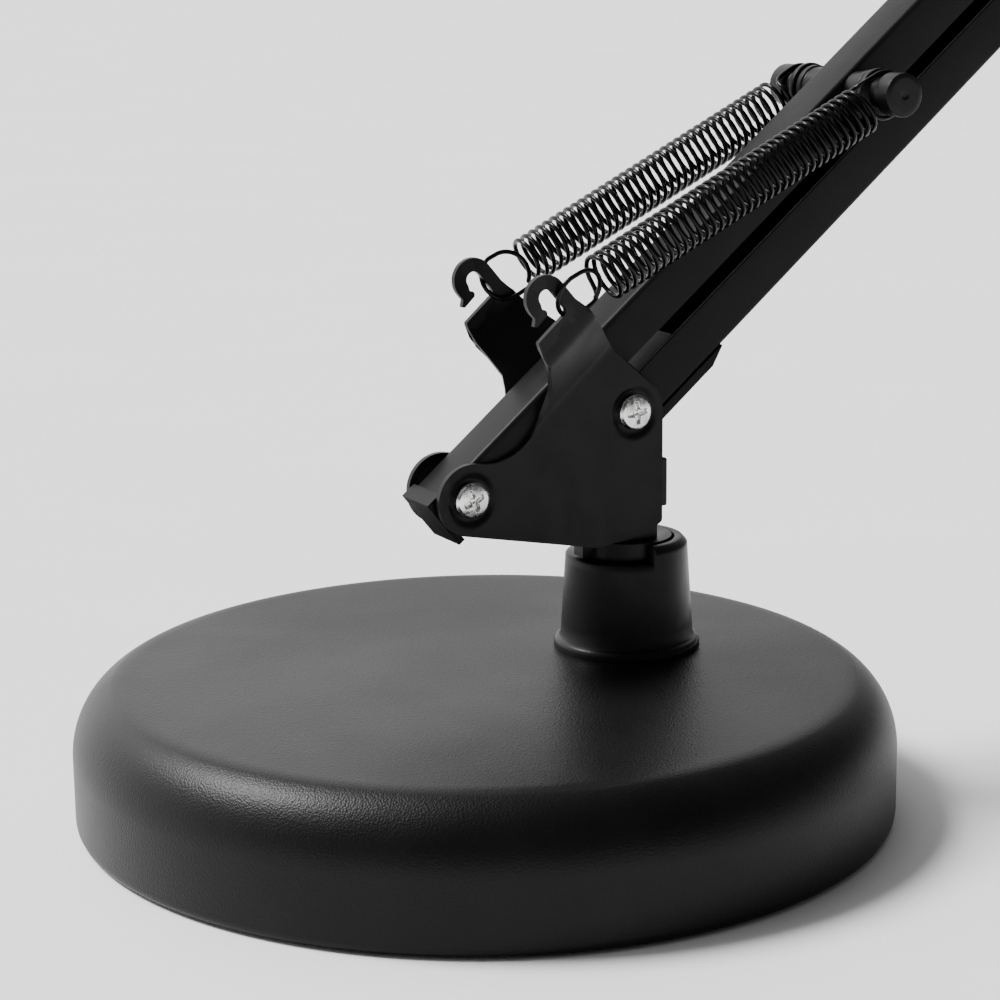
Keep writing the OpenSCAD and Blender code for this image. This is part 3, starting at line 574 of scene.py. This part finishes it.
def ear_outline(at, sign):
    """The ear's free edge, from its outer end round the hook to its inner start."""
    u, v = dir2(FOLD_ANGLE), nrm2(FOLD_ANGLE)
    top = FOLD_RISE + EAR_RISE

    def point(a, n):
        q = (EAR_START + a) * u + n * v
        return at + Vector((sign * q.x, q.y))

    hx, hn = HOOK_AT
    path = [point(EAR_W, FOLD_RISE), point(EAR_W - 0.8, FOLD_RISE + 6), point(EAR_W - 1.6, top - 0.5)]
    path += [point(hx + HOOK_R, top + hn * 0.55), point(hx + HOOK_R, top + hn - 1.5)]
    path += [point(hx + HOOK_R * math.cos(math.radians(a)), top + hn + HOOK_R * math.sin(math.radians(a)))
             for a in range(0, 181, 12)]
    lip = hx - EYE_R - 0.9
    path += [point(hx - HOOK_R + 0.05, top + hn - 1.6), point(10.9, top + SLOT_HIGH + 0.4),
             point(11.4, top + SLOT_HIGH - 0.15)]
    path += [point(lip - 0.6, top + SLOT_HIGH - 0.05)]
    path += [point(lip + 0.9 * math.cos(math.radians(a)),
                   top + SLOT_HIGH + 0.85 + 0.9 * math.sin(math.radians(a))) for a in range(-90, 71, 20)]
    path += [point(hx + EYE_R * math.cos(math.radians(a)), top + hn + EYE_R * math.sin(math.radians(a)))
             for a in range(180, -1, -20)]
    path += [point(hx + EYE_R, top + SLOT_LOW + 2.0)]
    path += [point(hx + EYE_R - 1.2 + 1.2 * math.cos(math.radians(a)),
                   top + SLOT_LOW + 1.2 + 1.2 * math.sin(math.radians(a))) for a in range(-15, -91, -15)]
    path += [point(9.5, top + SLOT_LOW), point(9.15, top + SLOT_LOW - 0.2), point(8.7, top + SLOT_LOW - 1.4),
             point(7.8, top), point(7.3, top - 3.5), point(6.2, FOLD_RISE + 0.4 * EAR_RISE),
             point(4.2, FOLD_RISE + 3.2), point(0.9, FOLD_RISE + 0.4)]
    return path


def arc2(c, r, a0, a1, steps):
    return [c + r * dir2(a0 + (a1 - a0) * k / steps) for k in range(steps + 1)]


def bracket_outline():
    gap = S2 - S1
    out = arc2(S1, LOBE_R, 78, 259, 26)
    out += [S1 + Vector((45.7 - 13.2, 0.3 - 15.5)), S1 + Vector((45.7 + 0.1, 1.6 - 15.5))]
    out += fillet([(S1.x + gap.x + 7.4, S1.y + 4.4 - 15.5, 0), (S1.x + gap.x + 7.6, S1.y + 4.9 - 15.5, 0)])
    out += arc2(S2, LOBE_R - 0.65, 0, 44, 8)
    out += ear_outline(S1, 1)
    out += arc2(S1 + Vector((4.6, LOBE_R + 13.6)), 14.2, -29, -93, 14)
    return out


def elbow_outline():
    r = LOBE_R - 0.5
    ear = ear_outline(U1, -1)
    # anticlockwise round the plate: foot pivots, rear, upper pivots, then the ear
    out = arc2(E1, r, 205, 290, 12) + arc2(E2, r, 290, 390, 14) + arc2(U2, r, 36, 172, 16)
    return out + ear[::-1]


def hull_outline(centres, r, steps=10):
    """Round-cornered outline about points given anticlockwise."""
    out = []
    count = len(centres)
    for i, c in enumerate(centres):
        a, b = c - centres[i - 1], centres[(i + 1) % count] - c
        a0 = math.degrees(math.atan2(a.y, a.x)) - 90
        a1 = math.degrees(math.atan2(b.y, b.x)) - 90
        while a1 < a0:
            a1 += 360
        out += arc2(c, r, a0, a1, steps)
    return out


def box_mesh(lo, hi):
    (x0, y0, z0), (x1, y1, z1) = lo, hi
    v = [(x0, y0, z0), (x1, y0, z0), (x1, y1, z0), (x0, y1, z0),
         (x0, y0, z1), (x1, y0, z1), (x1, y1, z1), (x0, y1, z1)]
    return v, [[0, 3, 2, 1], [4, 5, 6, 7], [0, 1, 5, 4], [1, 2, 6, 5], [2, 3, 7, 6], [3, 0, 4, 7]]


def build_plates():
    side = plate_mesh(bracket_outline(), [S1, S2], S1, 1)
    sheet_piece("bracket_skin", [side, mirror_y(side)], "satin_black", "turret", ["bracket"])
    web_x = S2.x + LOBE_R - 1.2
    v, f = box_mesh((web_x, -PLATE_OUT, S1.y - 7.5), (web_x + PLATE_T + 0.6, PLATE_OUT, S1.y + 4))
    web = piece("bracket_web", v, f, "satin_black", "turret", ["bracket"], sharp=180)
    soften(web, 0.55)
    elbow = plate_mesh(elbow_outline(), [E1, E2, U1, U2], U1, -1)
    sheet_piece("elbow_skin_left", [elbow], "satin_black", "elbow", ["elbow_plate_left"])
    sheet_piece("elbow_skin_right", [mirror_y(elbow)], "satin_black", "elbow", ["elbow_plate_right"])
    yoke = plate_mesh(hull_outline([K, K1, K2], LOBE_R - 0.4), [K1, K2])
    sheet_piece("yoke_skin_left", [yoke], "satin_black", "yoke", ["yoke_plate_left"])
    sheet_piece("yoke_skin_right", [mirror_y(yoke)], "satin_black", "yoke", ["yoke_plate_right"])


# ---------------------------------------------------------------- channels
def channel_piece(name, pivot, angle, length, flip, body):
    """Folded channel with rounded bends, open below (above when flipped)."""
    w, h, t = CHANNEL_W / 2, CHANNEL_H / 2, CHANNEL_T
    outline = fillet([(-w, -h, 0.25), (-w, h, 1.3), (w, h, 1.3), (w, -h, 0.25), (w - t, -h, 0.25),
                      (w - t, h - t, 0.5), (-w + t, h - t, 0.5), (-w + t, -h, 0.25)], 5)
    u, v = dir2(angle), nrm2(angle) * (-1 if flip else 1)

    def place(x, side, up):
        q = pivot + x * u + up * v
        return (q.x, side, q.y)

    verts, faces = extrude_mesh(outline, place, -CHANNEL_TAIL, length + CHANNEL_TAIL)
    if not flip:
        faces = [f[::-1] for f in faces]
    obj = piece(name + "_skin", verts, faces, "satin_black", body, [name], sharp=40)
    obj.data.materials[0] = CHANNEL_PAINT
    return obj


# ---------------------------------------------------------------- springs
def ease(path, at, reach=4, rounds=10):
    """Smooths the wire's direction round one point of its path."""
    for _ in range(rounds):
        for i in range(at - reach, at + reach + 1):
            path[i] = (path[i - 1] + path[i] * 2 + path[i + 1]) / 4


def coil(span):
    """The wire from its open end inside the coil, through the hook loop and the coil, to the open end
    of the pin loop. Points are (along, outward, up) in the spring's own frame."""
    r, shift, lead = COIL_R, 0.75, 1.2
    start, stop = 2 * r + lead, span - shift - r - lead
    tilt = math.radians(24)                      # the hook loop leans, and crosses the ear in its slot
    out, up = math.sin(tilt), math.cos(tilt)

    def lean(along, e):
        return Vector((along, e * out, e * up))

    loop = [lean(6.7 + 5.2 * math.cos(a), (r - 0.1) * math.sin(a)) for a in
            [math.radians(-52 + 142 * k / 18) for k in range(19)]]
    loop += [lean(r + r * math.cos(a), r * math.sin(a)) for a in
             [math.radians(96 + 174 * k / 24) for k in range(25)]]
    loop += [lean(r + (start - r - 0.7) * k / 5, -r) for k in range(1, 6)]
    turns, per_turn = 37, 30
    total = turns * per_turn + round(per_turn * (0.5 - 24 / 360))
    turn = []
    for k in range(total + 1):
        a = tilt + TAU * k / per_turn
        turn.append(Vector((start + (stop - start) * k / total, -r * math.sin(a), -r * math.cos(a))))
    centre = span - shift
    tail = [Vector((stop + 0.7 + (centre - stop - 0.7) * k / 5, 0, r)) for k in range(0, 5)]
    tail += [Vector((centre + r * math.sin(a), 0, r * math.cos(a))) for a in
             [math.radians(245 * k / 28) for k in range(29)]]
    path = loop + turn + tail
    ease(path, len(loop))
    ease(path, len(loop) + len(turn))
    return path, start, stop


def spring_piece(name, hook, pin, side, replaced):
    span = (pin - hook).length
    u = (pin - hook).normalized()
    v = Vector((-u.y, u.x)) * (1 if u.x > 0 else -1)
    path, start, stop = coil(span)
    world = []
    for s, out, up in path:
        q = hook + s * u + up * v
        world.append(Vector((q.x, side * (EAR_Y + out), q.y)))
    verts, faces = tube_mesh(world, WIRE_R, 10)
    obj = piece(name, verts, faces, "spring_black", None, replaced, sharp=180)
    for s in (start, stop):
        q = hook + s * u
    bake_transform(obj)
    return obj


# ---------------------------------------------------------------- spools and screws
def spool_piece(name, pin, body, replaced):
    parts = []
    groove = COIL_R - WIRE_R - 1.05
    y = EAR_Y
    outline = fillet([
        (2.0, 6.35, 0), (4.9, 6.35, 0.3), (4.9, y - 6.6, 0.3), (5.3, y - 6.3, 0.3), (5.3, y - 4.7, 0.4),
        (4.6, y - 4.5, 0.2), (4.6, y - 4.1, 0.2), (5.75, y - 3.9, 0.35), (5.75, y - 2.4, 0.5),
        (groove, y - 1.7, 0.5), (groove, y + 1.4, 0.5), (4.7, y + 1.7, 0.3), (5.1, y + 2.1, 0.3),
        (5.1, y + 6.75, 0.35), (4.0, y + 6.95, 0.3), (1.1, y + 7.0, 0.3), (0.8, y + 6.75, 0.2),
        (0, y + 6.7, 0)], 4)
    profile = [(max(p.x, 0), p.y) for p in outline] + [(0, 6.35)]
    for side in (1, -1):
        verts, faces = [], []
        count, segments = len(profile), 72
        for k in range(segments):
            c, s = math.cos(TAU * k / segments), math.sin(TAU * k / segments)
            verts += [(pin.x + r * c, side * h, pin.y + r * s) for r, h in profile]
        for k in range(segments):
            a, b = k * count, ((k + 1) % segments) * count
            for i in range(count - 1):
                face = [a + i, b + i, b + i + 1, a + i + 1]
                faces.append(face[::-1] if side > 0 else face)
        parts.append((verts, faces))
    verts, faces = join_meshes(parts)
    obj = piece(name, verts, faces, "socket_black", body, replaced, sharp=38)
    weld = obj.modifiers.new("weld", "WELD")
    weld.merge_threshold = 1e-7
    return obj


def screw_head(p, turn):
    """A domed head with a tapered cross recess, facing -Y, and the shank behind it."""
    seat = PLATE_OUT - DISH_DEPTH
    radius, height = 4.15, 2.1
    rings, segments = 44, 144
    verts, faces = [], []

    def recess(x, z):
        cut = 0.0
        for a, b in ((x, z), (z, x)):
            wide = 0.72 - 0.12 * abs(a)
            arm = smoothstep((2.75 - abs(a)) / 0.7) * smoothstep((wide - abs(b)) / 0.36 + 0.5)
            cut = max(cut, arm)
        centre = smoothstep((1.25 - math.hypot(x, z)) / 0.8)
        return max(cut * 1.1, centre * 1.4)

    for i in range(rings + 1):
        r = radius * (i / rings) ** 0.85
        for k in range(segments):
            a = TAU * k / segments
            x, z = r * math.cos(a), r * math.sin(a)
            c, s = math.cos(math.radians(turn)), math.sin(math.radians(turn))
            dome = height * (1 - 0.30 * (r / radius) ** 2) - 0.45 * smoothstep((r / radius - 0.86) / 0.14)
            depth = dome - recess(x * c + z * s, -x * s + z * c) * smoothstep((radius - 0.5 - r) / 0.6)
            verts.append((p.x + x, -(seat + depth), p.y + z))
    for k in range(segments):
        a = TAU * k / segments
        verts.append((p.x + radius * math.cos(a), -seat, p.y + radius * math.sin(a)))
    for i in range(rings + 1):
        for k in range(segments):
            j = (k + 1) % segments
            faces.append([i * segments + k, i * segments + j, (i + 1) * segments + j, (i + 1) * segments + k])
    shank = [(0, -seat), (2, -seat), (2, PLATE_OUT + 2.6), (1.6, PLATE_OUT + 3.2), (0, PLATE_OUT + 3.2)]
    first = len(verts)
    for k in range(48):
        a = TAU * k / 48
        verts += [(p.x + r * math.cos(a), y, p.y + r * math.sin(a)) for r, y in shank]
    for k in range(48):
        a, b = first + k * 5, first + ((k + 1) % 48) * 5
        for i in range(4):
            faces.append([a + i, b + i, b + i + 1, a + i + 1][::-1])
    return verts, faces


def screws_piece(name, points, body, turns):
    verts, faces = join_meshes([screw_head(p, t) for p, t in zip(points, turns)])
    obj = piece(name + "_skin", verts, faces, "zinc", body, [name], sharp=50)
    weld = obj.modifiers.new("weld", "WELD")
    weld.merge_threshold = 1e-7
    return obj


# ---------------------------------------------------------------- base
def shoulder(w, h, a0, a1, steps):
    r0 = BASE_R - SHOULDER_W
    return [(r0 + w * math.cos(a0 + (a1 - a0) * k / steps), SIDE_H + h * math.sin(a0 + (a1 - a0) * k / steps))
            for k in range(steps + 1)]


def build_base():
    top = math.acos(SHOULDER_CUT / SHOULDER_W)
    h = (BASE_H - SIDE_H) / math.sin(top)
    outer = shoulder(SHOULDER_W, h, 0, top - 0.10, 40)
    crease = (BASE_R - SHOULDER_W + SHOULDER_CUT, BASE_H)
    edge = [Vector(outer[-1]), Vector(crease), Vector((crease[0] - 3.0, BASE_H))]
    soft = []
    for k in range(9):
        t = k / 8
        q = (1 - t) ** 2 * edge[0] + 2 * t * (1 - t) * edge[1] + t * t * edge[2]
        soft.append((q.x, q.y))
    flat = [(r, BASE_H) for r in (70, 60, 50, 40, 30, 20, 10, 0)]
    profile = [(0, BASE_H - COVER_WALL), (BASE_R - 17, BASE_H - COVER_WALL),
               (BASE_R - COVER_WALL, SIDE_H), (BASE_R - COVER_WALL, COVER_LIFT),
               (BASE_R - 1.3, COVER_LIFT), (BASE_R - 0.5, COVER_LIFT + 0.35),
               (BASE_R - 0.12, COVER_LIFT + 1.1), (BASE_R, COVER_LIFT + 2.0)] + outer + soft[1:] + flat
    lathe("base_cover_skin", profile, (0, 0, 0), "base_texture", "base", ["base_cover"], segments=320, sharp=50)


def build_post():
    """The swivel post, its rim lowered except along the stop."""
    first, last = STOP_CENTRE - STOP_ARC / 2, STOP_CENTRE + STOP_ARC / 2
    angles = sorted([2 * k for k in range(180)] + [(a + d) % 360 for a in (first, last)
                                                 for d in (-1.6, -1.1, -0.6, 0.0, 0.6, 1.1, 1.6)])
    def raised(a):
        d = (a - STOP_CENTRE + 180) % 360 - 180
        return smoothstep((STOP_ARC / 2 - abs(d)) / 2.2 + 0.5)
    foot, rim = FOOT_D / 2, RIM_D / 2
    cup, floor_z = rim - 3, RIM_LOW - 6
    verts, faces = [], []
    count = None
    for a in angles:
        lift = raised(a)
        top = RIM_LOW + RIM_DROP * lift
        def wall(z):
            return foot + (rim - foot) * (z - BASE_H) / SOCKET_H
        chamfer = 0.35 + 0.85 * lift
        ring = [(foot + 1.4, BASE_H), (foot + 1.4, BASE_H + 1.2), (foot + 1.2, BASE_H + 1.9),
                (foot + 0.7, BASE_H + 2.3), (foot + 0.15, BASE_H + 2.5), (wall(BASE_H + 3.2), BASE_H + 3.2)]
        ring += [(wall(BASE_H + z), BASE_H + z) for z in (6, 10, 14, 18)]
        ring += [(wall(top - 2.2), top - 2.2), (wall(top - chamfer - 0.15) , top - chamfer - 0.15),
                 (wall(top) - 0.12, top - chamfer + 0.1), (wall(top) - chamfer * 0.85, top - 0.12),
                 (wall(top) - chamfer - 0.2, top), (cup + 0.4, top), (cup + 0.1, top - 0.1), (cup, top - 0.4),
                 (cup, floor_z), (8.6, floor_z), (8.6, BASE_H - 1), (foot, BASE_H - 1)]
        count = len(ring)
        c, s = math.cos(math.radians(a)), math.sin(math.radians(a))
        verts += [(SOCKET_X + r * c, r * s, z) for r, z in ring]
    n = len(angles)
    for k in range(n):
        a, b = k * count, ((k + 1) % n) * count
        for i in range(count):
            j = (i + 1) % count
            faces.append([a + i, b + i, b + j, a + j])
    piece("pivot_socket_skin", verts, faces, "socket_black", "base", ["pivot_socket"], sharp=40)


# ---------------------------------------------------------------- head
def build_head():
    cap_top = K.y - 13
    cap_bottom = cap_top - 13
    housing_r, wall = 27.0, 1.2
    housing_top = cap_bottom + 2
    housing_bottom = housing_top - 46
    shade_top = housing_bottom + 4
    shade_bottom = shade_top - 108
    r0, r1, t = housing_r - wall / 2, 82.0, 1.0

    def bell(s):
        return 0.62 * math.sin(math.radians(90 * s)) + 0.38 * s
    outer = [(r0 + t + (r1 - r0 - t) * bell(k / 48), shade_top - 4 + (shade_bottom - shade_top + 4) * k / 48)
             for k in range(49)]
    inner = [(r0 + (r1 - t - r0) * bell(k / 48), shade_top - 5.6 + (shade_bottom - shade_top + 5.6) * k / 48)
             for k in range(49)]
    bead = [(r1 - 0.5 + 1.3 * math.cos(a), shade_bottom + 1.3 * math.sin(a)) for a in
            [math.radians(60 - 300 * k / 20) for k in range(21)]]
    profile = [(r0, shade_top)] + inner[:-1] + bead[::-1] + outer[-2::-1] + [(r0 + t, shade_top)]
    lathe("shade_skin", profile, (K.x, 0, 0), "shade_black", "head", ["shade"], segments=256, sharp=60)


# ---------------------------------------------------------------- build
build_base()
build_post()
build_plates()
for node_name, pivot, angle, length, flip, body in (
        ("lower_channel", S1, LOWER_ANGLE, LOWER_LEN, False, "lower_arm"),
        ("lower_link_channel", S2, LOWER_ANGLE, LOWER_LEN, True, "lower_link"),
        ("upper_channel", U1, UPPER_ANGLE, UPPER_LEN, True, "upper_arm"),
        ("upper_link_channel", U2, UPPER_ANGLE, UPPER_LEN, True, "upper_link")):
    channel_piece(node_name, pivot, angle, length, flip, body)
for level, hook, pin in (("lower", LOWER_HOOK, LOWER_PIN), ("upper", UPPER_HOOK, UPPER_PIN)):
    for side_name, side in (("left", 1), ("right", -1)):
        spring_piece(f"{level}_wire_{side_name}", hook, pin, side,
                     [f"{level}_spring_{side_name}", f"{level}_tail_{side_name}"])
    spool_piece(f"{level}_spools_skin", pin, f"{level}_arm", [f"{level}_pin_spools"])
screws_piece("bracket_screws", [S1, S2], "turret", [24, 8])
screws_piece("elbow_screws", [E1, E2, U1, U2], "elbow", [12, 40, 63, 31])
screws_piece("yoke_screws", [K1, K2], "yoke", [18, 52])
build_head()

EDGE = {"lower_spring_pin": 0, "upper_spring_pin": 0, "bulb_glass": 0, "bulb_base": 0, "foot_pad": 0.4,
        "ballast_weight": 0.6, "base_screws": 0.2, "lampholder": 0.8, "tilt_knob": 0.5, "head_cap": 0.6,
        "cord_gland": 0.5, "switch_button": 0.9}
for node_name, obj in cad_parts.items():
    obj.data.materials.clear()
    obj.data.materials.append(MATERIALS[SLOT_OF[node_name]])
    obj.data.polygons.foreach_set("use_smooth", [True] * len(obj.data.polygons))
    if not obj.hide_render and EDGE.get(node_name, 0.3) > 0:
        soften(obj, EDGE.get(node_name, 0.3))


# ---------------------------------------------------------------- floor, light, camera
def build_stage():
    t = Tree("studio_floor")
    t.bump(t.noise(260, 3), 0.00005, 0.3)
    tone = t.ramp(t.noise(9, 4), [(0.3, (0.86, 0.86, 0.86)), (0.7, (0.89, 0.89, 0.89))])
    floor_mat = t.set(Base_Color=tone,
                      Roughness=t.span(t.noise(40, 3), 0.80, 0.88), Specular_IOR_Level=0.2)
    verts, faces = [(0, 0, 0)], []
    for ring, r in enumerate((0.4, 1.2, 4.0, 14.0)):
        for k in range(96):
            verts.append((r * math.cos(TAU * k / 96), r * math.sin(TAU * k / 96), 0))
    for k in range(96):
        j = (k + 1) % 96
        faces.append([0, 1 + k, 1 + j])
        for ring in range(3):
            a = 1 + ring * 96
            faces.append([a + k, a + 96 + k, a + 96 + j, a + j])
    mesh = bpy.data.meshes.new("floor")
    mesh.from_pydata(verts, [], faces)
    mesh.materials.append(floor_mat)
    floor = bpy.data.objects.new("floor", mesh)
    bpy.context.scene.collection.objects.link(floor)

    world = bpy.data.worlds.new("studio")
    bpy.context.scene.world = world
    world.use_nodes = True
    nodes, links = world.node_tree.nodes, world.node_tree.links
    back = nodes["Background"]
    coord = nodes.new("ShaderNodeTexCoord")
    dot = nodes.new("ShaderNodeVectorMath")
    dot.operation = "DOT_PRODUCT"
    dot.inputs[1].default_value = Vector((-0.30, 0.90, 0.30)).normalized()
    span = nodes.new("ShaderNodeMapRange")
    span.interpolation_type = "SMOOTHSTEP"
    for key, value in (("From Min", 0.0), ("From Max", 1.0), ("To Min", 0.13), ("To Max", 2.0)):
        span.inputs[key].default_value = value
    links.new(coord.outputs["Generated"], dot.inputs[0])
    links.new(dot.outputs["Value"], span.inputs["Value"])
    links.new(span.outputs["Result"], back.inputs["Strength"])
    back.inputs["Color"].default_value = (1, 1, 1, 1)

    key = bpy.data.lights.new("softbox", "SUN")
    key.energy, key.angle = 6.0, math.radians(22)
    obj = bpy.data.objects.new("softbox", key)
    obj.rotation_euler = Vector((0.50, -0.42, -0.85)).to_track_quat("-Z", "Y").to_euler()
    bpy.context.scene.collection.objects.link(obj)


def build_camera():
    camera = bpy.data.cameras.new("camera")
    camera.lens, camera.sensor_width = 91.43, 36.0
    camera.clip_start, camera.clip_end = 0.02, 100.0
    obj = bpy.data.objects.new("camera", camera)
    bpy.context.scene.collection.objects.link(obj)
    right, up = Vector((0.8751, -0.4838, -0.0108)), Vector((0.1188, 0.1933, 0.9739))
    right.normalize()
    up = (up - up.dot(right) * right).normalized()
    back = right.cross(up)
    turn = Matrix((right, up, back)).transposed().to_4x4()
    obj.matrix_world = Matrix.Translation((-0.2685, -0.4970, 0.2034)) @ turn
    bpy.context.scene.camera = obj


build_stage()
build_camera()
